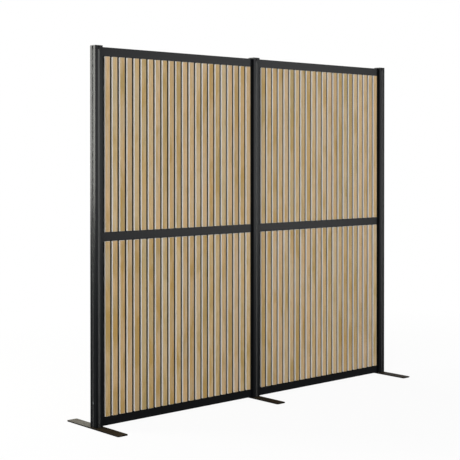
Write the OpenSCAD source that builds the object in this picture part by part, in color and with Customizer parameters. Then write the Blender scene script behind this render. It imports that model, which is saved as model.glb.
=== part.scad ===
// Slatted room divider: two bays of slatted felt boards between three grooved posts on foot plates.
// Millimetres. The origin is on the floor under the middle post, X runs along the divider,
// the front faces -Y and Z is up.

/* [Bays] */
// Clear width between two posts
bay_w = 900; // [600:10:1200]
// Height of a slatted panel between its two rails
panel_h = 770; // [500:10:1000]

/* [Posts] */
// Width and depth of the square post
post_w = 40; // [38:1:50]
// Radius of the post's outer corners
post_corner_r = 1; // [0.5:0.1:2]
// Width of the groove down the middle of each face
groove_w = 10; // [9:0.5:11]
// Depth of the groove
groove_d = 8; // [6:0.5:9]
// Wall between the groove's floor and the hollow core
core_wall = 2.5; // [2:0.1:3]
// Walls round the small chamber in each corner of the post
chamber_wall = 2.2; // [1.5:0.1:2.5]
// Height of the post's top, with its cap, above the top rail
post_proud = 6; // [4:1:30]

/* [Post caps] */
// Thickness of the cap's plate
cap_t = 3; // [2:0.5:4]
// Length of the plug that goes down into the core
cap_plug_h = 14; // [8:1:20]
// Wall of the hollow plug
cap_plug_wall = 1.8; // [1.2:0.1:3]

/* [Rails] */
// Height of each rail
rail_h = 40; // [40:1:60]
// Depth of each rail from front to back
rail_d = 16; // [15:0.5:24]
// Radius of the rail's long edges
rail_edge_r = 0.6; // [0.3:0.1:1]
// Depth of the slot that holds the felt board's edge
slot_d = 12; // [8:0.5:12]
// Height of the chamber that takes the connector's tongue
tongue_chamber_h = 12; // [9:0.5:12]
// Walls above and below the closed chamber of a bottom or top rail
rail_wall = 2; // [1.5:0.1:3]
// Height of the bottom rail above the foot plate
rail_lift = 1; // [0.5:0.5:10]

/* [Felt boards and slats] */
// Gap between the felt's edge and the floor of its groove or slot
felt_edge_play = 0.5; // [0.2:0.1:0.8]
// Width of a slat
slat_w = 26; // [18:1:32]
// Thickness of a slat
slat_t = 9; // [6:0.5:12]
// Distance from one slat to the next
slat_pitch = 40; // [36:1:60]
// Least distance from the outermost slats to the posts
slat_margin_min = 12; // [8:1:20]
// Gap between a slat's end and the rail
slat_end_play = 0.5; // [0.2:0.1:0.8]

/* [Feet] */
// Width of a foot plate
foot_w = 54; // [50:1:120]
// Length of a foot plate from front to back
foot_l = 390; // [300:10:600]
// Thickness of a foot plate
foot_t = 5; // [4:0.5:10]
// Radius of a foot plate's corners
foot_corner_r = 8; // [3:1:20]
// Height of the spigot above its foot plate
spigot_h = 120; // [60:5:200]
// Distance from the spigot's top down to the lock screw
lock_screw_drop = 15; // [10:1:25]

/* [Connectors] */
// Height of the connector's base in the post's groove
connector_base_h = 36; // [32:1:38]
// Length of the tongue inside the rail
tongue_l = 40; // [25:1:60]
// Distance from the rail's end to its set screw
set_screw_in = 20; // [10:1:22]

/* [Screws] */
// Thread of the screws through the foot plate
foot_screw_d = 5; // [4:1:5]
// Length of the screws through the foot plate
foot_screw_l = 20; // [15:1:40]
// Thread of the screw that locks post to spigot
lock_screw_d = 6; // [5:1:8]
// Head of the lock screw
lock_head_d = 9; // [8.5:0.5:9]
// Height of the lock screw's head
lock_head_h = 7.5; // [5:0.5:7.5]
// Length of the lock screw under its head
lock_screw_l = 10; // [8:1:12]
// Thread of the screws that hold a connector in its groove
base_screw_d = 4; // [3:0.5:4]
// Thread of the set screw in the rail's back wall
set_screw_d = 5; // [4:1:5]
// How far the set screw reaches into the tongue
set_screw_bite = 4; // [3:0.5:4.5]

/* [Clearances] */
// Between the felt's face and the wall of its groove or slot
felt_face_play = 0.5; // [0.2:0.1:0.8]
// Round the spigot, the cap's plug and the connector
slide_play = 0.2; // [0.1:0.05:0.3]
// Between a rail's end and the post
rail_end_play = 0.3; // [0.1:0.1:0.8]
// Between a screw and its hole, on the radius
screw_play = 0.1; // [0.05:0.05:0.2]
// How far a countersunk head or a set screw lies below its surface
screw_sink = 0.2; // [0.1:0.1:0.5]

/* [Hidden] */
$fn = 48;

// Cuts run this far past a face
past = 1;
// A countersunk head is twice its thread across, with flanks at 45 degrees
head_ratio = 2;
// A hexagon socket's width over its corners, as a share of the thread
socket_ratio = 0.7;
// Depth of a socket, as a share of the thread
socket_depth_ratio = 0.4;
// The lock screw's head: its straight part as a share of its height, and its top as a share of its width
lock_head_rim = 0.9;
lock_head_top = 0.85;

post_pitch = bay_w + post_w;
post_x = [-post_pitch, 0, post_pitch];
bay_x = [-post_pitch / 2, post_pitch / 2];

rail_z0 = foot_t + rail_lift;
level_step = rail_h + panel_h;
levels = [0, 1, 2];
rows = [0, 1];
function rail_z(level) = rail_z0 + level * level_step;
function rail_mid_z(level) = rail_z(level) + rail_h / 2;
function panel_z(row) = rail_z(row) + rail_h;

post_top = rail_z(2) + rail_h + post_proud - cap_t;
groove_floor = post_w / 2 - groove_d;
core_w = 2 * (groove_floor - core_wall);
chamber_in = core_w / 2 + chamber_wall;
chamber_out = post_w / 2 - chamber_wall;

slot_w = groove_w;
felt_t = groove_w - 2 * felt_face_play;
slat_count = floor((bay_w - 2 * slat_margin_min - slat_w) / slat_pitch) + 1;
slat_field = (slat_count - 1) * slat_pitch + slat_w;

spigot_w = core_w - 2 * slide_play;
lock_screw_z = foot_t + spigot_h - lock_screw_drop;
foot_screw_at = spigot_w / 4;

tongue_d = slot_w - 2 * slide_play;
tongue_h = tongue_chamber_h - 2 * slide_play;
base_d = groove_w - 2 * slide_play;
base_t = groove_d - slide_play;
base_screw_at = (tongue_h + connector_base_h) / 4;
base_screw_l = base_t - screw_sink + core_wall;
set_screw_l = rail_d / 2 - screw_sink - tongue_d / 2 + set_screw_bite;

// Rectangle about the origin with rounded corners
module rounded_square(w, d, r) {
    square([w - 2 * r, d], center = true);
    square([w, d - 2 * r], center = true);
    for (x = [-1, 1], y = [-1, 1])
        translate([x * (w / 2 - r), y * (d / 2 - r)]) circle(r);
}

// Screw with a countersunk head: its flat top at the origin, its thread along +Z
module countersunk_screw(d, length) {
    head_h = d * (head_ratio - 1) / 2;
    difference() {
        union() {
            cylinder(h = head_h, d1 = d * head_ratio, d2 = d);
            translate([0, 0, head_h]) cylinder(h = length - head_h, d = d);
        }
        translate([0, 0, -past])
            cylinder(h = past + d * socket_depth_ratio, d = d * socket_ratio, $fn = 6);
    }
}

// Hole for that screw, cut from a face at the origin, with the head sunk below the face
module countersunk_hole(d, length) {
    grown = d + 2 * screw_play;
    head_h = d * (head_ratio - 1) / 2;
    translate([0, 0, -past]) cylinder(h = past + screw_sink, d = d * head_ratio + 2 * screw_play);
    translate([0, 0, screw_sink])
        cylinder(h = head_h, d1 = d * head_ratio + 2 * screw_play, d2 = grown);
    cylinder(h = length, d = grown);
}

// Post

module post_profile() {
    difference() {
        rounded_square(post_w, post_w, post_corner_r);
        square(core_w, center = true);
        for (turn = [0, 90, 180, 270]) rotate(turn) {
            translate([groove_floor, -groove_w / 2]) square([groove_d + past, groove_w]);
            translate([chamber_in, chamber_in]) square(chamber_out - chamber_in);
        }
    }
}

// connector_sides: which sides, -1 left and 1 right, carry rail connectors
// lock_turn: the face that takes the lock screw, as an angle from +X
module post(x, connector_sides, lock_turn) {
    color("#3a3b39") difference() {
        translate([x, 0, foot_t]) linear_extrude(post_top - foot_t) post_profile();
        for (side = connector_sides, level = levels, up = [-1, 1])
            translate([x + side * core_w / 4, 0, rail_mid_z(level) + up * base_screw_at])
                rotate([0, side * 90, 0]) cylinder(h = post_w / 2, d = base_screw_d + 2 * screw_play);
        translate([x, 0, lock_screw_z]) rotate([0, 0, lock_turn]) rotate([0, 90, 0])
            cylinder(h = post_w / 2, d = lock_screw_d + 2 * screw_play);
    }
}

module left_post() { post(post_x[0], [1], 180); }
module middle_post() { post(post_x[1], [-1, 1], 90); }
module right_post() { post(post_x[2], [-1], 0); }

// Post cap

module post_cap(x) {
    plug_w = core_w - 2 * slide_play;
    color("#262725") translate([x, 0, post_top]) {
        linear_extrude(cap_t) rounded_square(post_w, post_w, post_corner_r);
        translate([0, 0, -cap_plug_h]) linear_extrude(cap_plug_h) difference() {
            square(plug_w, center = true);
            square(plug_w - 2 * cap_plug_wall, center = true);
        }
    }
}

module left_post_cap() { post_cap(post_x[0]); }
module middle_post_cap() { post_cap(post_x[1]); }
module right_post_cap() { post_cap(post_x[2]); }

// Foot: plate, spigot and the screws that join them

// Places its children at the two foot screws, at opposite corners of the spigot
module at_foot_screws(x) {
    for (s = [-1, 1]) translate([x + s * foot_screw_at, s * foot_screw_at, 0]) children();
}

module foot_plate(x) {
    color("#2a2b29") difference() {
        translate([x, 0, 0]) linear_extrude(foot_t) rounded_square(foot_w, foot_l, foot_corner_r);
        at_foot_screws(x) countersunk_hole(foot_screw_d, foot_t + past);
    }
}

module left_foot_plate() { foot_plate(post_x[0]); }
module middle_foot_plate() { foot_plate(post_x[1]); }
module right_foot_plate() { foot_plate(post_x[2]); }

module foot_spigot(x, lock_turn) {
    color("#8d8f90") difference() {
        translate([x - spigot_w / 2, -spigot_w / 2, foot_t]) cube([spigot_w, spigot_w, spigot_h]);
        at_foot_screws(x) cylinder(h = foot_screw_l + past, d = foot_screw_d + 2 * screw_play);
        translate([x, 0, lock_screw_z]) rotate([0, 0, lock_turn]) rotate([0, 90, 0])
            cylinder(h = post_w / 2, d = lock_screw_d + 2 * screw_play);
    }
}

module left_foot_spigot() { foot_spigot(post_x[0], 180); }
module middle_foot_spigot() { foot_spigot(post_x[1], 90); }
module right_foot_spigot() { foot_spigot(post_x[2], 0); }

module foot_plate_screws() {
    color("#b9bbbd") for (x = post_x) at_foot_screws(x)
        translate([0, 0, screw_sink]) countersunk_screw(foot_screw_d, foot_screw_l);
}

// Screw with a tall round head that seats on the floor of a post's groove and ends just inside its face
module lock_screw() {
    color("#b9bbbd") translate([groove_floor, 0, 0]) rotate([0, 90, 0]) difference() {
        union() {
            translate([0, 0, -lock_screw_l]) cylinder(h = lock_screw_l, d = lock_screw_d);
            cylinder(h = lock_head_rim * lock_head_h, d = lock_head_d);
            translate([0, 0, lock_head_rim * lock_head_h])
                cylinder(h = (1 - lock_head_rim) * lock_head_h, d1 = lock_head_d,
                    d2 = lock_head_top * lock_head_d);
        }
        translate([0, 0, lock_head_h - lock_screw_d * socket_depth_ratio])
            cylinder(h = lock_head_h, d = lock_screw_d * socket_ratio, $fn = 6);
    }
}

module spigot_lock_screws() {
    translate([post_x[0], 0, lock_screw_z]) rotate([0, 0, 180]) lock_screw();
    translate([post_x[1], 0, lock_screw_z]) rotate([0, 0, 90]) lock_screw();
    translate([post_x[2], 0, lock_screw_z]) lock_screw();
}

// Rails

// Section across a rail: X of the drawing is front to back, Y is up
module rail_profile(level) {
    closed_h = (rail_h - tongue_chamber_h) / 2 - 2 * rail_wall;
    difference() {
        rounded_square(rail_d, rail_h, rail_edge_r);
        square([slot_w, tongue_chamber_h], center = true);
        for (up = [-1, 1]) {
            open = (up == 1) ? level < 2 : level > 0;
            cut_h = open ? slot_d + past : closed_h;
            cut_at = open ? (rail_h + past - slot_d) / 2 : (tongue_chamber_h + closed_h) / 2 + rail_wall;
            translate([0, up * cut_at]) square([slot_w, cut_h], center = true);
        }
    }
}

module rail(bay, level) {
    rail_l = bay_w - 2 * rail_end_play;
    end_x = bay_w / 2 - rail_end_play - set_screw_in;
    color("#343532") translate([bay_x[bay], 0, rail_mid_z(level)]) difference() {
        translate([-rail_l / 2, 0, 0]) rotate([90, 0, 90]) linear_extrude(rail_l) rail_profile(level);
        for (side = [-1, 1]) translate([side * end_x, 0, 0]) rotate([-90, 0, 0])
            cylinder(h = rail_d, d = set_screw_d + 2 * screw_play);
    }
}

module left_bottom_rail() { rail(0, 0); }
module left_middle_rail() { rail(0, 1); }
module left_top_rail() { rail(0, 2); }
module right_bottom_rail() { rail(1, 0); }
module right_middle_rail() { rail(1, 1); }
module right_top_rail() { rail(1, 2); }

// Rail connectors: a base in the post's groove and a tongue in the rail's chamber

// Places its children at every rail end, with the post's face at X = 0 and the bay towards +X
module at_rail_ends(bays) {
    for (bay = bays, level = levels) {
        translate([bay_x[bay] - bay_w / 2, 0, rail_mid_z(level)]) children();
        translate([bay_x[bay] + bay_w / 2, 0, rail_mid_z(level)]) mirror([1, 0, 0]) children();
    }
}

module connector() {
    color("#77797a") difference() {
        union() {
            translate([-groove_d, -base_d / 2, -connector_base_h / 2])
                cube([base_t, base_d, connector_base_h]);
            translate([-groove_d, -tongue_d / 2, -tongue_h / 2])
                cube([groove_d + tongue_l, tongue_d, tongue_h]);
        }
        for (up = [-1, 1]) translate([base_t - groove_d, 0, up * base_screw_at])
            rotate([0, -90, 0]) countersunk_hole(base_screw_d, groove_d + past);
        translate([rail_end_play + set_screw_in, tongue_d / 2 - set_screw_bite - screw_play, 0])
            rotate([-90, 0, 0]) cylinder(h = tongue_d, d = set_screw_d + 2 * screw_play);
    }
}

module left_rail_connectors() { at_rail_ends([0]) connector(); }
module right_rail_connectors() { at_rail_ends([1]) connector(); }

module connector_base_screws() {
    color("#b9bbbd") at_rail_ends([0, 1]) for (up = [-1, 1])
        translate([base_t - groove_d - screw_sink, 0, up * base_screw_at])
            rotate([0, -90, 0]) countersunk_screw(base_screw_d, base_screw_l);
}

module rail_set_screws() {
    color("#3c3d3d") at_rail_ends([0, 1])
        translate([rail_end_play + set_screw_in, rail_d / 2 - screw_sink - set_screw_l, 0])
            rotate([-90, 0, 0]) difference() {
                cylinder(h = set_screw_l, d = set_screw_d);
                translate([0, 0, set_screw_l - set_screw_d * socket_depth_ratio])
                    cylinder(h = set_screw_l, d = set_screw_d * socket_ratio, $fn = 6);
            }
}

// Felt boards: the sides reach into the posts' grooves, the top and bottom into the rails' slots

module felt_board(bay, row) {
    groove_reach = bay_w + 2 * (groove_d - felt_edge_play);
    slot_reach = panel_h + 2 * (slot_d - felt_edge_play);
    color("#2a241d") translate([bay_x[bay], 0, panel_z(row) + panel_h / 2])
        rotate([90, 0, 0]) translate([0, 0, -felt_t / 2]) linear_extrude(felt_t) {
            square([groove_reach, panel_h], center = true);
            square([bay_w - 2 * rail_end_play, slot_reach], center = true);
        }
}

module left_lower_felt() { felt_board(0, 0); }
module left_upper_felt() { felt_board(0, 1); }
module right_lower_felt() { felt_board(1, 0); }
module right_upper_felt() { felt_board(1, 1); }

// Slats: face is -1 for the front of the felt and 1 for its back

module slats(bay, row, face) {
    slat_y = (face < 0) ? -felt_t / 2 - slat_t : felt_t / 2;
    color("#b89b6f") for (i = [0 : slat_count - 1])
        translate([bay_x[bay] - slat_field / 2 + i * slat_pitch, slat_y, panel_z(row) + slat_end_play])
            cube([slat_w, slat_t, panel_h - 2 * slat_end_play]);
}

module left_lower_front_slats() { slats(0, 0, -1); }
module left_upper_front_slats() { slats(0, 1, -1); }
module right_lower_front_slats() { slats(1, 0, -1); }
module right_upper_front_slats() { slats(1, 1, -1); }
module left_lower_back_slats() { slats(0, 0, 1); }
module left_upper_back_slats() { slats(0, 1, 1); }
module right_lower_back_slats() { slats(1, 0, 1); }
module right_upper_back_slats() { slats(1, 1, 1); }

left_post();
middle_post();
right_post();
left_post_cap();
middle_post_cap();
right_post_cap();
left_foot_plate();
middle_foot_plate();
right_foot_plate();
left_foot_spigot();
middle_foot_spigot();
right_foot_spigot();
foot_plate_screws();
spigot_lock_screws();
left_bottom_rail();
left_middle_rail();
left_top_rail();
right_bottom_rail();
right_middle_rail();
right_top_rail();
left_rail_connectors();
right_rail_connectors();
connector_base_screws();
rail_set_screws();
left_lower_felt();
left_upper_felt();
right_lower_felt();
right_upper_felt();
left_lower_front_slats();
left_upper_front_slats();
right_lower_front_slats();
right_upper_front_slats();
left_lower_back_slats();
left_upper_back_slats();
right_lower_back_slats();
right_upper_back_slats();
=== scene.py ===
# Looks of a slatted room divider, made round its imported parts. Lengths are in metres.
import math
import random

import bmesh
import bpy
from mathutils import Matrix, Vector


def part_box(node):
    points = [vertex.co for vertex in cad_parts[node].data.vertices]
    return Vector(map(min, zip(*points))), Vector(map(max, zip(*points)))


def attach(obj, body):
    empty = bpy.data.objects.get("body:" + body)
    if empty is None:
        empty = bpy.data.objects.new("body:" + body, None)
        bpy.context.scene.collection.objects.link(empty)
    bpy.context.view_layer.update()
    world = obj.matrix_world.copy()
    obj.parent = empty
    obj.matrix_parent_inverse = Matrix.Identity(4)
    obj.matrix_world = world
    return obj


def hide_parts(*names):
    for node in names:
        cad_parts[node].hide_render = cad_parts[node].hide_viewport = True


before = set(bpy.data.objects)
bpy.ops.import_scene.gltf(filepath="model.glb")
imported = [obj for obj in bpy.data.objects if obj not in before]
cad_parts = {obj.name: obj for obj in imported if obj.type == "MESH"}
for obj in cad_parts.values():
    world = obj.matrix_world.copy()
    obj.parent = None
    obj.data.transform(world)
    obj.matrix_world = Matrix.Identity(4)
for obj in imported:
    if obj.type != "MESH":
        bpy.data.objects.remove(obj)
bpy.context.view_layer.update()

# Foot plates
# A flat steel bar under each post, cut with rounded corners, its edges broken, and powder coated satin
# black. Two countersunk screws go up through it and hold the spigot that the post stands over.

FOOT_CORNER_RADIUS = 0.008
FOOT_EDGE_RADIUS = 0.0005
FOOT_SCREW_OFFSET = 0.00465
FOOT_SCREW_DIAMETER = 0.005
SCREW_PLAY = 0.0001
SCREW_SINK = 0.0002
SHARP_ANGLE = 1
LEAST_RUN_ALONG = 0.999
HOLE_SEGMENTS = 32
POSTS = ("left", "middle", "right")


class Value:
    """A value in a shader. Sums and products of values add their Math nodes."""

    def __init__(self, shader, socket):
        self.shader = shader
        self.socket = socket

    def beside(self, output):
        """Another output of the node that this value comes from."""
        return Value(self.shader, self.socket.node.outputs[output])

    def math(self, operation, *others):
        """One Math node on this value and others."""
        return self.shader.node("Math", {"operation": operation}, dict(enumerate((self, *others))))

    def __add__(self, other):
        return self.math("ADD", other)

    def __sub__(self, other):
        return self.math("SUBTRACT", other)

    def __mul__(self, other):
        return self.math("MULTIPLY", other)

    def __rsub__(self, other):
        return -1 * self + other

    __radd__ = __add__
    __rmul__ = __mul__


class Shader:
    """The nodes of one finish, or of the studio's world."""

    def __init__(self, owner):
        owner.use_nodes = True
        self.owner = owner
        self.tree = owner.node_tree
        self.tree.nodes.clear()

    def node(self, kind, settings, sockets, output=0):
        """Adds a node, sets it up, fills its sockets and returns one of its outputs. The stops of a
        ramp are pairs of a position and a shade."""
        made = self.tree.nodes.new("ShaderNode" + kind)
        for name, setting in settings.items():
            if name == "stops":
                ramp = made.color_ramp.elements
                while len(ramp) < len(setting):
                    ramp.new(1)
                for stop, (position, shade) in zip(ramp, setting):
                    stop.position = position
                    stop.color = (shade, shade, shade, 1)
            else:
                setattr(made, name, setting)
        for name, value in sockets.items():
            if isinstance(value, Value):
                self.tree.links.new(value.socket, made.inputs[name])
            else:
                made.inputs[name].default_value = value
        return Value(self, made.outputs[output]) if made.outputs else None

    def point(self, stretch=(1, 1, 1)):
        """The place on the piece, with each axis stretched."""
        place = self.node("TexCoord", {}, {}, "Object")
        return self.node("Mapping", {}, {"Vector": place, "Scale": stretch})

    def mark(self, name):
        """What a face of the piece is marked with under that name."""
        return self.node("Attribute", {"attribute_name": name}, {}, "Fac")

    def noise(self, point, scale, detail=2.0, roughness=0.5):
        sockets = {"Vector": point, "Scale": scale, "Detail": detail, "Roughness": roughness}
        return self.node("TexNoise", {}, sockets)

    def ramp(self, value, *stops):
        """Turns one value into another by stops, each a position and a shade."""
        return self.node("ValToRGB", {"stops": stops}, {"Fac": value})

    def mix(self, share, first, second):
        """Mixes two colours, which are the Mix node's sockets 6 and 7 and its output 2."""
        return self.node("Mix", {"data_type": "RGBA"}, {0: share, 6: first, 7: second}, 2)

    def bump(self, height, depth):
        return self.node("Bump", {}, {"Height": height, "Distance": depth})

    def surface(self, **sockets):
        """Ends a material in one Principled shader. A socket's name has _ for each space."""
        sockets = {name.replace("_", " "): value for name, value in sockets.items()}
        principled = self.node("BsdfPrincipled", {}, sockets)
        self.node("OutputMaterial", {}, {"Surface": principled})
        return self.owner


def powder_coat():
    """Black powder coat: low orange peel a few millimetres across, with a fine tooth. The faces that
    are marked as treads, the tops, are a lighter brown in patches."""
    coat = Shader(bpy.data.materials.new("black_powder_coat"))
    peel = coat.noise(coat.point(), 420, 2)
    tooth = coat.noise(coat.point(), 2600, 1)
    patchiness = coat.ramp(coat.noise(coat.point(), 14, 4, 0.6), (0.4, 0), (0.75, 1))
    # The tops are coloured a lighter brown in patches.
    tread_brown = coat.mix(0.5 * patchiness, (0.0210, 0.0158, 0.0100, 1), (0.0450, 0.0340, 0.0217, 1))
    bare = coat.mix(coat.mark("worn"), (0.0065, 0.0062, 0.0060, 1), (0.0160, 0.0140, 0.0120, 1))
    black = coat.mix(coat.mark("tread"), bare, tread_brown)
    return coat.surface(
        Base_Color=black,
        Roughness=0.36 + 0.08 * patchiness + 0.06 * tooth,
        Specular_IOR_Level=0.005,
        Normal=coat.bump(peel + 0.3 * tooth, 0.00003),
    )


def new_shape():
    """An empty mesh whose faces can be marked as worn."""
    bm = bmesh.new()
    bm.faces.layers.float.new("worn")
    return bm


def add_box(bm, low, high):
    """Adds a box between two corners."""
    low, high = Vector(low), Vector(high)
    placed = Matrix.Translation((low + high) / 2) @ Matrix.Diagonal((*(high - low), 1))
    bmesh.ops.create_cube(bm, size=1, matrix=placed)


def is_along(edge, axis):
    """True for an edge that runs along X, Y or Z, given as 0, 1 or 2."""
    run = edge.verts[1].co - edge.verts[0].co
    return abs(run[axis]) > LEAST_RUN_ALONG * run.length


def is_sharp(edge):
    """True where the two faces at an edge turn by more than the sharp angle, in radians."""
    return edge.calc_face_angle() > SHARP_ANGLE


def height_of(face):
    """How high the middle of a face is."""
    return face.calc_center_median().z


def round_off(bm, edges, radius, segments):
    """Rounds edges off and marks the new faces as worn, where a finish shows its wear."""
    rounded = bmesh.ops.bevel(
        bm, geom=edges, offset=radius, segments=segments, profile=0.5, affect="EDGES", material=-1
    )
    worn = bm.faces.layers.float["worn"]
    for face in rounded["faces"]:
        face[worn] = 1


def piece(name, bm, material, slot, *nodes):
    """Makes a mesh a piece of the divider that stands for the nodes."""
    mesh = bpy.data.meshes.new(name)
    bmesh.ops.recalc_face_normals(bm, faces=bm.faces[:])
    bm.to_mesh(mesh)
    bm.free()
    mesh.materials.append(material)
    made = bpy.data.objects.new(name, mesh)
    bpy.context.scene.collection.objects.link(made)
    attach(made, "root")
    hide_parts(*nodes)
    return made


def drill(drilled, cutters):
    """Cuts a bmesh of closed cutters out of a piece, which keeps its name and finish."""
    mesh = bpy.data.meshes.new("cutters")
    cutters.to_mesh(mesh)
    cutters.free()
    cutter = bpy.data.objects.new("cutters", mesh)
    bpy.context.scene.collection.objects.link(cutter)
    cut = drilled.modifiers.new("holes", "BOOLEAN")
    cut.object = cutter
    cut.solver = "EXACT"
    evaluated = drilled.evaluated_get(bpy.context.evaluated_depsgraph_get())
    result = bpy.data.meshes.new_from_object(evaluated)
    drilled.modifiers.remove(cut)
    drilled.data = result
    bpy.data.objects.remove(cutter)


def add_round(bm, place, radius, end_radius, depth, way=(0, 0, 1)):
    """Adds a closed cylinder or cone that starts at a place and runs one way."""
    turned = Vector(way).to_track_quat("Z", "Y").to_matrix().to_4x4()
    placed = Matrix.Translation(place) @ turned @ Matrix.Translation((0, 0, depth / 2))
    bmesh.ops.create_cone(
        bm,
        cap_ends=True,
        segments=HOLE_SEGMENTS,
        radius1=radius,
        radius2=end_radius,
        depth=depth,
        matrix=placed,
    )


foot_coat = powder_coat()
for side in POSTS:
    low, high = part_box(side + "_foot_plate")
    centre = (low + high) / 2
    plate = new_shape()
    tread = plate.faces.layers.float.new("tread")
    add_box(plate, low, high)
    corners = [edge for edge in plate.edges if is_along(edge, 2)]
    round_off(plate, corners, FOOT_CORNER_RADIUS, segments=8)
    rims = [edge for edge in plate.edges if is_sharp(edge) and not is_along(edge, 2)]
    round_off(plate, rims, FOOT_EDGE_RADIUS, segments=2)
    top = max(plate.faces, key=height_of)
    top[tread] = 1
    foot = piece(side + "_foot_bar", plate, foot_coat, "black_steel", side + "_foot_plate")

    shank = FOOT_SCREW_DIAMETER / 2 + SCREW_PLAY
    head = FOOT_SCREW_DIAMETER + SCREW_PLAY
    thickness = high.z - low.z
    holes = bmesh.new()
    for corner in (-1, 1):
        aside = corner * FOOT_SCREW_OFFSET
        under = Vector((centre.x + aside, centre.y + aside, 0))
        sink = Vector((0, 0, SCREW_SINK))
        add_round(holes, under - Vector((0, 0, thickness)), shank, shank, 3 * thickness)
        add_round(holes, under - sink, head, head, 2 * SCREW_SINK)
        add_round(holes, under + sink, head, shank, head - shank)
    drill(foot, holes)

# Spigots and zinc screws
# A square bar of drawn steel stands on each foot plate inside the post. A lock screw goes through the
# post's groove into it, its tall head ending just inside the face, and countersunk screws hold it from
# below.


def drawn_steel():
    """Bright drawn steel: fine lines along the bar and faint darker blotches."""
    steel = Shader(bpy.data.materials.new("drawn_steel"))
    lines = steel.noise(steel.point((1, 1, 0.02)), 2200, 2)
    blotches = steel.noise(steel.point(), 60, 3, 0.6)
    tone = steel.mix(blotches, (0.36, 0.365, 0.37, 1), (0.52, 0.525, 0.53, 1))
    return steel.surface(
        Base_Color=tone,
        Metallic=1.0,
        Roughness=0.28 + 0.16 * lines,
        Normal=steel.bump(lines, 0.00001),
    )


def zinc_plate():
    """Dull zinc plate: a bluish grey with small cloudy flowers."""
    zinc = Shader(bpy.data.materials.new("zinc_plate"))
    flowers = zinc.node("TexVoronoi", {}, {"Vector": zinc.point(), "Scale": 900})
    clouds = zinc.noise(zinc.point(), 300, 2)
    tone = zinc.mix(clouds, (0.27, 0.28, 0.295, 1), (0.42, 0.435, 0.455, 1))
    return zinc.surface(
        Base_Color=tone,
        Metallic=1.0,
        Roughness=0.34 + 0.15 * flowers,
        Normal=zinc.bump(clouds, 0.00001),
    )


def finish_node(node, material):
    """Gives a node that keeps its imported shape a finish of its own."""
    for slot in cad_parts[node].material_slots:
        slot.material = material


steel = drawn_steel()
zinc = zinc_plate()
for side in POSTS:
    finish_node(side + "_foot_spigot", steel)
finish_node("foot_plate_screws", zinc)
finish_node("spigot_lock_screws", zinc)

# Posts
# Square aluminium extrusions with one plain groove down the middle of each face, a square core and a
# small chamber in each corner. They are anodised black, and the inside of each groove is painted a
# paler metallic grey as a painted highlight.

GROOVE_HALF = 0.005
GROOVE_DEPTH = 0.008
CORE_WALL = 0.0025
CHAMBER_WALL = 0.0022
POST_CORNER_RADIUS = 0.001
LIP_RADIUS = 0.0004
LOCK_SCREW_HEIGHT = 0.110
LOCK_SCREW_HOLE_RADIUS = 0.0031
CONNECTOR_SCREW_OFFSET = 0.0119
CONNECTOR_SCREW_HOLE_RADIUS = 0.0021
BAYS = ("left", "right")
LEVELS = ("bottom", "middle", "top")
LOCKED_FROM = {"left": (-1, 0, 0), "middle": (0, 1, 0), "right": (1, 0, 0)}
RAILS_GO = {"left": (1,), "middle": (-1, 1), "right": (-1,)}
TINY = 0.000001


def anodised(name, along, shine):
    """Black anodised aluminium, drawn along X or Z, given as 0 or 2, with faint lines that way. Its
    shine is how much the outer faces mirror. The inside of a groove is a paler metallic grey, a
    painted highlight."""
    black = Shader(bpy.data.materials.new(name))
    stretch = [1, 1, 1]
    stretch[along] = 0.004
    lines = black.noise(black.point(stretch), 700, 2)
    stretch[along] = 0.1
    clouds = black.noise(black.point(stretch), 18, 2)
    paler = 0.3 * clouds + 0.4 * lines + 0.35 * black.mark("worn")
    tone = black.mix(paler, (0.0020, 0.0024, 0.0032, 1), (0.0085, 0.0090, 0.0100, 1))
    # Painted highlight: the inside of a groove is a paler metallic grey.
    inside = black.mark("inside")
    return black.surface(
        Base_Color=black.mix(inside, tone, (0.30, 0.302, 0.30, 1)),
        Metallic=0.9 * inside,
        Roughness=0.24 + 0.05 * clouds + 0.07 * lines,
        Specular_IOR_Level=shine,
        Normal=black.bump(lines, 0.000003),
    )


def extrusion(width, depth, length, cuts_across, cuts_deep, is_void):
    """A bar up from the origin. Its section is a rectangle cut into cells, less the void ones."""
    bm = new_shape()
    outline = Matrix.Diagonal((width, depth, 1, 1))
    bmesh.ops.create_grid(bm, x_segments=1, y_segments=1, size=0.5, matrix=outline)
    for normal, cuts in ((Vector((1, 0, 0)), cuts_across), (Vector((0, 1, 0)), cuts_deep)):
        for cut in cuts:
            everything = bm.verts[:] + bm.edges[:] + bm.faces[:]
            bmesh.ops.bisect_plane(bm, geom=everything, plane_co=cut * normal, plane_no=normal)
    voids = [face for face in bm.faces if is_void(*face.calc_center_median().xy)]
    bmesh.ops.delete(bm, geom=voids, context="FACES")
    top = bmesh.ops.extrude_face_region(bm, geom=bm.faces[:])["geom"]
    raised = [part for part in top if isinstance(part, bmesh.types.BMVert)]
    bmesh.ops.translate(bm, verts=raised, vec=(0, 0, length))
    bmesh.ops.recalc_face_normals(bm, faces=bm.faces[:])
    return bm


def long_edges(bm, half_width, half_depth):
    """The sharp edges up the bar that lie on one of its flat sides, and those at two of them."""
    on_side, at_corner = [], []
    for edge in bm.edges:
        if is_along(edge, 2) and is_sharp(edge):
            spot = edge.verts[0].co
            sides = (abs(spot.x) > half_width - TINY) + (abs(spot.y) > half_depth - TINY)
            if sides:
                (on_side if sides == 1 else at_corner).append(edge)
    return on_side, at_corner


def in_post_void(x, y, half_post):
    """True inside a groove, the core or a corner chamber of a post's section."""
    near, far = sorted((abs(x), abs(y)))
    groove_floor = half_post - GROOVE_DEPTH
    core_half = groove_floor - CORE_WALL
    in_groove = near < GROOVE_HALF and far > groove_floor
    in_chamber = near > core_half + CHAMBER_WALL and far < half_post - CHAMBER_WALL
    return in_groove or in_chamber or far < core_half


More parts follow.
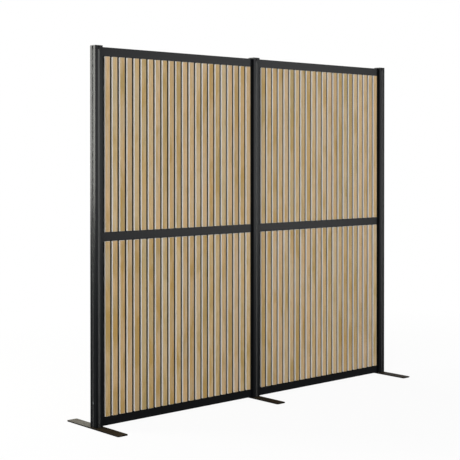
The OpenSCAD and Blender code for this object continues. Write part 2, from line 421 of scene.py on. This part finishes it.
def is_groove_wall(face, half_post):
    """True for a wall or the floor of a groove, below its rounded lips."""
    near, far = sorted(abs(distance) for distance in face.calc_center_median().xy)
    is_deep_enough = half_post - GROOVE_DEPTH - TINY < far < half_post - LIP_RADIUS
    return near < GROOVE_HALF + TINY and is_deep_enough


post_black = anodised("black_anodised_posts", along=2, shine=0.086)
for side in POSTS:
    low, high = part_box(side + "_post")
    half_post = (high.x - low.x) / 2
    core_half = half_post - GROOVE_DEPTH - CORE_WALL
    chamber = (core_half + CHAMBER_WALL, half_post - CHAMBER_WALL)
    walls = (GROOVE_HALF, half_post - GROOVE_DEPTH, core_half, *chamber)
    cuts = [sign * wall for wall in walls for sign in (-1, 1)]
    profile = extrusion(
        2 * half_post,
        2 * half_post,
        high.z - low.z,
        cuts,
        cuts,
        lambda x, y: in_post_void(x, y, half_post),
    )
    inside = profile.faces.layers.float.new("inside")
    lips, corners = long_edges(profile, half_post, half_post)
    round_off(profile, corners, POST_CORNER_RADIUS, segments=4)
    round_off(profile, lips, LIP_RADIUS, segments=2)
    # The walls and floors of the grooves are marked for the painted highlight.
    for face in profile.faces:
        face[inside] = is_groove_wall(face, half_post)
    middle = (low.x + high.x) / 2
    bmesh.ops.translate(profile, verts=profile.verts[:], vec=(middle, 0, low.z))
    post = piece(side + "_post_extrusion", profile, post_black, "black_profile", side + "_post")
    holes = bmesh.new()
    radius = LOCK_SCREW_HOLE_RADIUS
    add_round(holes, (middle, 0, LOCK_SCREW_HEIGHT), radius, radius, half_post, LOCKED_FROM[side])
    radius = CONNECTOR_SCREW_HOLE_RADIUS
    for level in LEVELS:
        rail_low, rail_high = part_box(f"left_{level}_rail")
        for offset in (-CONNECTOR_SCREW_OFFSET, CONNECTOR_SCREW_OFFSET):
            for way in RAILS_GO[side]:
                start = (middle + way * core_half / 2, 0, (rail_low.z + rail_high.z) / 2 + offset)
                add_round(holes, start, radius, radius, half_post, (way, 0, 0))
    drill(post, holes)

# Post caps
# A moulded plastic cap closes the top of each post: a thin square plate over a hollow plug that is
# pushed down into the post's core.

CAP_THICKNESS = 0.003
CAP_PLUG_HALF = 0.0093
CAP_PLUG_WALL = 0.0018
CAP_EDGE_RADIUS = 0.0005


def moulded_plastic():
    """Black plastic from a spark eroded mould: a fine even grain and a soft sheen."""
    plastic = Shader(bpy.data.materials.new("black_moulded_plastic"))
    grain = plastic.noise(plastic.point(), 2400, 2, 0.6)
    haze = plastic.noise(plastic.point(), 90, 2)
    return plastic.surface(
        Base_Color=plastic.mix(haze, (0.012, 0.012, 0.012, 1), (0.022, 0.022, 0.021, 1)),
        Roughness=0.42 + 0.15 * grain,
        Specular_IOR_Level=0.4,
        Normal=plastic.bump(grain, 0.00002),
    )


cap_plastic = moulded_plastic()
for side in POSTS:
    low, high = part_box(side + "_post_cap")
    plug_length = high.z - CAP_THICKNESS - low.z
    cap = new_shape()
    add_box(cap, (low.x, low.y, high.z - CAP_THICKNESS), high)
    under = min(cap.faces, key=height_of)
    half_cap = (high.x - low.x) / 2
    bmesh.ops.inset_region(cap, faces=[under], thickness=half_cap - CAP_PLUG_HALF)
    plug = bmesh.ops.extrude_discrete_faces(cap, faces=[under])["faces"][0]
    bmesh.ops.translate(cap, verts=plug.verts, vec=(0, 0, -plug_length))
    bmesh.ops.inset_region(cap, faces=[plug], thickness=CAP_PLUG_WALL)
    hollow = bmesh.ops.extrude_discrete_faces(cap, faces=[plug])["faces"][0]
    bmesh.ops.translate(cap, verts=hollow.verts, vec=(0, 0, plug_length))
    bmesh.ops.remove_doubles(cap, verts=cap.verts[:], dist=TINY)
    upright = [edge for edge in cap.edges if is_along(edge, 2)]
    corners = [edge for edge in upright if abs(edge.verts[0].co.y) > half_cap - TINY]
    round_off(cap, corners, POST_CORNER_RADIUS, segments=4)
    rim = [edge for edge in cap.edges if min(vert.co.z for vert in edge.verts) > high.z - TINY]
    round_off(cap, rim, CAP_EDGE_RADIUS, segments=2)
    piece(side + "_cap_moulding", cap, cap_plastic, "black_cap", side + "_post_cap")

# Rails
# Extruded bars between the posts, anodised black like them. A slot along a rail's inner side holds
# the edge of a felt board, and a chamber through its middle takes the connectors' tongues.

SLOT_DEPTH = 0.012
TONGUE_CHAMBER_HALF = 0.006
RAIL_WALL = 0.002
RAIL_EDGE_RADIUS = 0.0006
SET_SCREW_RADIUS = 0.0026
SET_SCREW_IN = 0.020


def in_rail_void(y, z, half_height, level):
    """True inside the tongue's chamber, a felt slot or a closed chamber of a rail's section."""
    if abs(y) > GROOVE_HALF:
        return False
    slot_floor = half_height - SLOT_DEPTH
    is_open = level != ("top" if z > 0 else "bottom")
    if is_open:
        in_end = abs(z) > slot_floor
    else:
        in_end = TONGUE_CHAMBER_HALF + RAIL_WALL < abs(z) < half_height - RAIL_WALL
    return in_end or abs(z) < TONGUE_CHAMBER_HALF


rail_black = anodised("black_anodised_rails", along=0, shine=0.105)
for bay in BAYS:
    for level in LEVELS:
        node = f"{bay}_{level}_rail"
        low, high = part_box(node)
        half_depth = (high.y - low.y) / 2
        half_height = (high.z - low.z) / 2
        middle = (low.z + high.z) / 2
        walls = (TONGUE_CHAMBER_HALF, TONGUE_CHAMBER_HALF + RAIL_WALL, half_height - RAIL_WALL)
        profile = extrusion(
            2 * half_depth,
            2 * half_height,
            high.x - low.x,
            (-GROOVE_HALF, GROOVE_HALF),
            [sign * wall for wall in walls for sign in (-1, 1)],
            lambda y, z: in_rail_void(y, z, half_height, level),
        )
        lips, corners = long_edges(profile, half_depth, half_height)
        round_off(profile, corners, RAIL_EDGE_RADIUS, segments=3)
        round_off(profile, lips, LIP_RADIUS, segments=2)
        # The section's X, Y and Z turn to the part's Y, Z and X.
        laid = Matrix(((0, 0, 1, low.x), (1, 0, 0, 0), (0, 1, 0, middle), (0, 0, 0, 1)))
        bmesh.ops.transform(profile, matrix=laid, verts=profile.verts[:])
        rail = piece(node + "_extrusion", profile, rail_black, "black_profile", node)
        holes = bmesh.new()
        radius = SET_SCREW_RADIUS
        for x in (low.x + SET_SCREW_IN, high.x - SET_SCREW_IN):
            add_round(holes, (x, 0, middle), radius, radius, 2 * half_depth, (0, 1, 0))
        drill(rail, holes)

# Rail connectors and their screws
# A steel block in the post's groove, held by two countersunk screws, with a tongue that reaches into
# the rail. A black set screw through the rail's back presses on the tongue.


def black_oxide():
    """Black oxide on steel: dark and slightly oily, uneven in the polish."""
    oxide = Shader(bpy.data.materials.new("black_oxide"))
    oil = oxide.noise(oxide.point(), 500, 2)
    return oxide.surface(
        Base_Color=oxide.mix(oil, (0.020, 0.020, 0.021, 1), (0.045, 0.045, 0.046, 1)),
        Metallic=0.6,
        Roughness=0.3 + 0.2 * oil,
        Normal=oxide.bump(oil, 0.00001),
    )


for bay in BAYS:
    finish_node(bay + "_rail_connectors", steel)
finish_node("connector_base_screws", zinc)
finish_node("rail_set_screws", black_oxide())

# Felt boards
# Pressed black polyester felt, 9 mm thick. The sides stand in the posts' grooves and the top and
# bottom edges in the rails' slots, so each board is a rectangle with its four corners cut out.

ROWS = ("lower", "upper")
FELT_EDGE_RADIUS = 0.0006
FELT_PLAY = 0.0005
FIBRE_CURL = 0.02
FIBRE_LEANS = (8, 52, 97, 141)


def pressed_felt():
    """Dark fibres pressed together every way, matted into a soft lumpy face."""
    felt = Shader(bpy.data.materials.new("black_pressed_felt"))
    place = felt.point()
    matting = felt.noise(place, 260, 4, 0.65)
    drift = felt.noise(place, 90, 2).beside("Color")
    sockets = {0: drift, 1: (FIBRE_CURL, FIBRE_CURL, FIBRE_CURL), 2: place}
    curled = felt.node("VectorMath", {"operation": "MULTIPLY_ADD"}, sockets)
    fibres = 0
    for lean in FIBRE_LEANS:
        sockets = {"Vector": curled, "Rotation": (0, math.radians(lean), 0), "Scale": (1, 1, 10)}
        strands = felt.noise(felt.node("Mapping", {"vector_type": "TEXTURE"}, sockets), 1900, 1)
        fibres = felt.ramp(strands, (0.60, 0), (0.72, 1)).math("MAXIMUM", fibres)
    shade = felt.mix(matting, (0.006, 0.0055, 0.005, 1), (0.014, 0.0128, 0.0115, 1))
    return felt.surface(
        Base_Color=felt.mix(0.45 * fibres, shade, (0.040, 0.038, 0.035, 1)),
        Roughness=0.9 + 0.1 * matting,
        Specular_IOR_Level=0.1,
        Normal=felt.bump(0.5 * fibres + matting, 0.0004),
    )


felt_black = pressed_felt()
for bay in BAYS:
    rail_low, rail_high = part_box(bay + "_middle_rail")
    for row in ROWS:
        node = f"{bay}_{row}_felt"
        low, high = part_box(node)
        centre = (low + high) / 2
        half_panel = (high.z - low.z) / 2 - (SLOT_DEPTH - FELT_PLAY)
        half_rail = (rail_high.x - rail_low.x) / 2
        board = extrusion(
            high.x - low.x,
            high.z - low.z,
            high.y - low.y,
            (-half_rail, half_rail),
            (-half_panel, half_panel),
            lambda x, z: abs(x) > half_rail and abs(z) > half_panel,
        )
        upright = Matrix.Rotation(math.radians(90), 4, "X")
        stood = Matrix.Translation((centre.x, high.y, centre.z)) @ upright
        bmesh.ops.transform(board, matrix=stood, verts=board.verts[:])
        rims = [edge for edge in board.edges if is_sharp(edge)]
        round_off(board, rims, FELT_EDGE_RADIUS, segments=2)
        piece(node + "_board", board, felt_black, "black_felt", node)

# Slats
# Strips of fibreboard glued to both faces of the felt, 26 mm wide at 40 mm spacing. Oak veneer
# covers the outer face of each and stops at its edge, so the sides show the paler board.

SLATS_ON_A_FACE = 22
SLAT_WIDTH = 0.026
SLAT_EDGE_RADIUS = 0.0005
LEAST_NORMAL_OUT = 0.9
LOTS_APART = (7, 7, 7)
RING_TURNS = 62
LOT_SEED = 26


def oak_and_board():
    """Oak veneer where a face is marked as veneer, and the paler core board on the rest. A slat's lot,
    three numbers of its own, says where it was cut, how brown and warm it is, and how rosy."""
    oak = Shader(bpy.data.materials.new("oak_veneer"))
    lot = oak.node("Attribute", {"attribute_name": "lot"}, {}, "Vector")
    brown = oak.node("SeparateXYZ", {}, {"Vector": lot})
    warmth = brown.beside("Y")
    redness = brown.beside("Z")
    sockets = {0: lot, 1: LOTS_APART, 2: oak.point()}
    in_log = oak.node("VectorMath", {"operation": "MULTIPLY_ADD"}, sockets)
    grown = oak.node("Mapping", {}, {"Vector": in_log, "Scale": (1, 1, 0.05)})
    fibre = oak.node("Mapping", {}, {"Vector": in_log, "Scale": (1, 1, 0.018)})

    figure = oak.noise(grown, 42, 2, 0.45)
    rings = (RING_TURNS * figure).math("SINE") * 0.5 + 0.5
    bands = oak.noise(grown, 125, 2, 0.5)
    streaks = oak.noise(grown, 380, 4, 0.62)
    hairs = oak.noise(fibre, 1700, 2, 0.6)
    broad = oak.node("Mapping", {}, {"Vector": in_log, "Scale": (1, 1, 0.25)})
    patches = oak.noise(broad, 22, 3, 0.55)
    pores = oak.ramp(oak.noise(fibre, 3400, 1), (0.60, 0), (0.70, 1))

    tint = oak.ramp(0.12 * warmth + 0.88 * bands, (0.39, 0), (0.61, 1))
    late = 0.26 * rings + 0.42 * oak.ramp(streaks, (0.32, 0), (0.68, 1)) + 0.3 * (hairs - 0.5)
    pale = oak.mix(tint, (0.562, 0.384, 0.200, 1), (0.520, 0.400, 0.263, 1))
    dark = oak.mix(tint, (0.376, 0.226, 0.056, 1), (0.342, 0.237, 0.088, 1))
    veneer = oak.mix(late, pale, dark)
    browner = 0.9 * brown + 1.35 * oak.ramp(patches, (0.46, 0), (0.76, 1)) - 0.36
    veneer = oak.mix(browner, veneer, dark)
    veneer = oak.mix(0.5 * pores, veneer, (0.185, 0.115, 0.052, 1))
    rosy = 0.5 * redness + 0.5 * (1 - patches)
    blush = oak.mix(rosy, (0.983, 1.031, 0.983, 1), (1.017, 0.969, 1.017, 1))
    veneer = oak.node("VectorMath", {"operation": "MULTIPLY"}, {0: veneer, 1: blush})

    specks = oak.noise(oak.point((1, 1, 0.4)), 1300, 3, 0.7)
    board = oak.mix(specks, (0.64, 0.622, 0.585, 1), (0.76, 0.742, 0.705, 1))
    return oak.surface(
        Base_Color=oak.mix(oak.mark("veneer"), board, veneer),
        Roughness=0.48 + 0.16 * streaks + 0.1 * pores,
        Specular_IOR_Level=0.35,
        Normal=oak.bump(0.3 * streaks + 0.3 * hairs - pores, 0.00006),
    )


def is_outer(face, outward):
    """True for a face that looks to the front, given as -1, or to the back, given as 1."""
    return face.normal.y * outward > LEAST_NORMAL_OUT


oak = oak_and_board()
stock = random.Random(LOT_SEED)
for bay in BAYS:
    for row in ROWS:
        for face_name, outward in (("front", -1), ("back", 1)):
            node = f"{bay}_{row}_{face_name}_slats"
            low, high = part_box(node)
            spacing = (high.x - low.x - SLAT_WIDTH) / (SLATS_ON_A_FACE - 1)
            slats = new_shape()
            veneer = slats.faces.layers.float.new("veneer")
            lot = slats.faces.layers.float_vector.new("lot")
            for number in range(SLATS_ON_A_FACE):
                left = low.x + number * spacing
                add_box(slats, (left, low.y, low.z), (left + SLAT_WIDTH, high.y, high.z))
            slats.normal_update()
            outer = [face for face in slats.faces if is_outer(face, outward)]
            rims = {edge for face in outer for edge in face.edges}
            round_off(slats, list(rims), SLAT_EDGE_RADIUS, segments=2)
            slats.normal_update()
            lots = [Vector(stock.random() for axis in "xyz") for number in range(SLATS_ON_A_FACE)]
            for face in slats.faces:
                number = int((face.calc_center_median().x - low.x) / spacing)
                face[lot] = lots[number]
                face[veneer] = is_outer(face, outward)
            piece(f"{bay}_{row}_{face_name}_oak_slats", slats, oak, "oak_slat", node)

# Studio
# A pale floor that runs out to white and, in mirrors only, shows a painted shade of dark grey near
# the divider and to its left, a white surround that lights softly, and four soft boxes: a large one
# from the left, a low one from the right, and two warm ones at the back, one where the posts' left
# sides mirror it.

FLOOR_REACH = 30
FLOOR_PALE_NEAR = 0.93
# Distances from the divider's middle at which the floor starts to grow paler and stops
FLOOR_PALES = (1.2, 3.5)
MIRRORED_FLOOR_PALES = (3, 17)
# Places along X where the painted shade on the left of the mirrored floor starts to grow paler and
# stops
MIRRORED_LEFT_ENDS = (-2.2, -0.6)


def seen(shader, to_eye=1):
    """How white a thing is to the camera. It is one in mirrors and nought for light that bounces."""
    camera = shader.node("LightPath", {}, {}, "Is Camera Ray")
    direct = to_eye * camera.math("MAXIMUM", camera.beside("Is Transmission Ray"))
    return direct.math("MAXIMUM", camera.beside("Is Glossy Ray"))


def rise(value, start, end, low=0):
    """Rises from low to one while a value goes from start to end."""
    sockets = {"Value": value, "From Min": start, "From Max": end, "To Min": low}
    return value.shader.node("MapRange", {}, sockets)


surround = Shader(bpy.data.worlds.new("surround"))
soft = surround.node("Background", {}, {"Color": (0.95, 0.97, 1, 1), "Strength": 0.43})
white = surround.node("Background", {}, {"Color": (1, 1, 1, 1), "Strength": 1})
shown = surround.node("MixShader", {}, {0: seen(surround), 1: soft, 2: white})
surround.node("OutputWorld", {}, {"Surface": shown})
bpy.context.scene.world = surround.owner

floor_paint = Shader(bpy.data.materials.new("floor_paint"))
place = floor_paint.point()
distance = floor_paint.node("VectorMath", {"operation": "LENGTH"}, {0: place}, "Value")
across = floor_paint.node("SeparateXYZ", {}, {0: place}, "X")
to_eye = rise(distance, *FLOOR_PALES, FLOOR_PALE_NEAR)
# Painted shade: in mirrors the floor is dark grey near the divider and on its left, growing pale
# further out, while the camera sees it pale.
on_right = rise(distance, *FLOOR_PALES) * rise(across, *MIRRORED_LEFT_ENDS)
pale_in_mirrors = rise(distance, *MIRRORED_FLOOR_PALES).math("MAXIMUM", on_right)
mirrored = floor_paint.node("LightPath", {}, {}, "Is Glossy Ray")
tone = floor_paint.mix(mirrored * (1 - pale_in_mirrors), (1, 1, 1, 1), (0.12, 0.12, 0.12, 1))
matt = floor_paint.node("BsdfDiffuse", {}, {"Color": (0.72, 0.72, 0.72, 1)})
glow = floor_paint.node("Emission", {}, {"Color": tone, "Strength": 1})
painted = floor_paint.node("MixShader", {}, {0: seen(floor_paint, to_eye), 1: matt, 2: glow})
floor_paint.node("OutputMaterial", {}, {"Surface": painted})

floor_mesh = bmesh.new()
bmesh.ops.create_grid(floor_mesh, x_segments=1, y_segments=1, size=FLOOR_REACH)
floor_data = bpy.data.meshes.new("floor")
floor_mesh.to_mesh(floor_data)
floor_mesh.free()
floor_data.materials.append(floor_paint.owner)
floor = bpy.data.objects.new("floor", floor_data)
bpy.context.scene.collection.objects.link(floor)


def soft_box(name, place, aim, width, height, radiance, tint=(1, 1, 1)):
    """An area lamp that faces a point. Its radiance is how bright its face looks."""
    lamp = bpy.data.lights.new(name, "AREA")
    lamp.shape = "RECTANGLE"
    lamp.size, lamp.size_y = width, height
    lamp.energy = math.pi * width * height * radiance
    lamp.color = tint
    hung = bpy.data.objects.new(name, lamp)
    hung.location = place
    hung.rotation_euler = (Vector(aim) - Vector(place)).to_track_quat("-Z", "Y").to_euler()
    bpy.context.scene.collection.objects.link(hung)


soft_box("left_box", (-9.0, -4.8, 6.4), (0, 0, 0.9), width=5.1, height=4.5, radiance=11.4)
soft_box("right_box", (3.56, -4.48, 1.35), (0, 0, 1.1), width=3.0, height=2.1, radiance=4.8)
soft_box(
    "back_left_box",
    (-2.45, 2.1, 1.65),
    (-0.95, 0, 1.65),
    width=1.0,
    height=1.6,
    radiance=17.2,
    tint=(1, 1, 0.93),
)
soft_box(
    "back_box",
    (1.6, 4.2, 1.2),
    (0, 0, 0.9),
    width=2.0,
    height=1.7,
    radiance=8,
    tint=(1, 0.98, 0.84),
)

# Camera
# It stands before the divider's left end at chest height, almost level, and its view is shifted down
# to take in the feet.

SENSOR_WIDTH = 36
LENS = 87.73
VIEW_SHIFT = -0.1407
CAMERA_PLACE = (-3.7684, -4.0315, 1.1906)
DEGREES_DOWN = 0.485
DEGREES_TO_RIGHT = 41.845

camera_data = bpy.data.cameras.new("camera")
camera_data.sensor_width = SENSOR_WIDTH
camera_data.lens = LENS
camera_data.shift_y = VIEW_SHIFT
camera = bpy.data.objects.new("camera", camera_data)
camera.location = CAMERA_PLACE
camera.rotation_euler = (math.radians(90 - DEGREES_DOWN), 0, math.radians(-DEGREES_TO_RIGHT))
bpy.context.scene.collection.objects.link(camera)
bpy.context.scene.camera = camera

bpy.context.scene.view_settings.view_transform = "Standard"
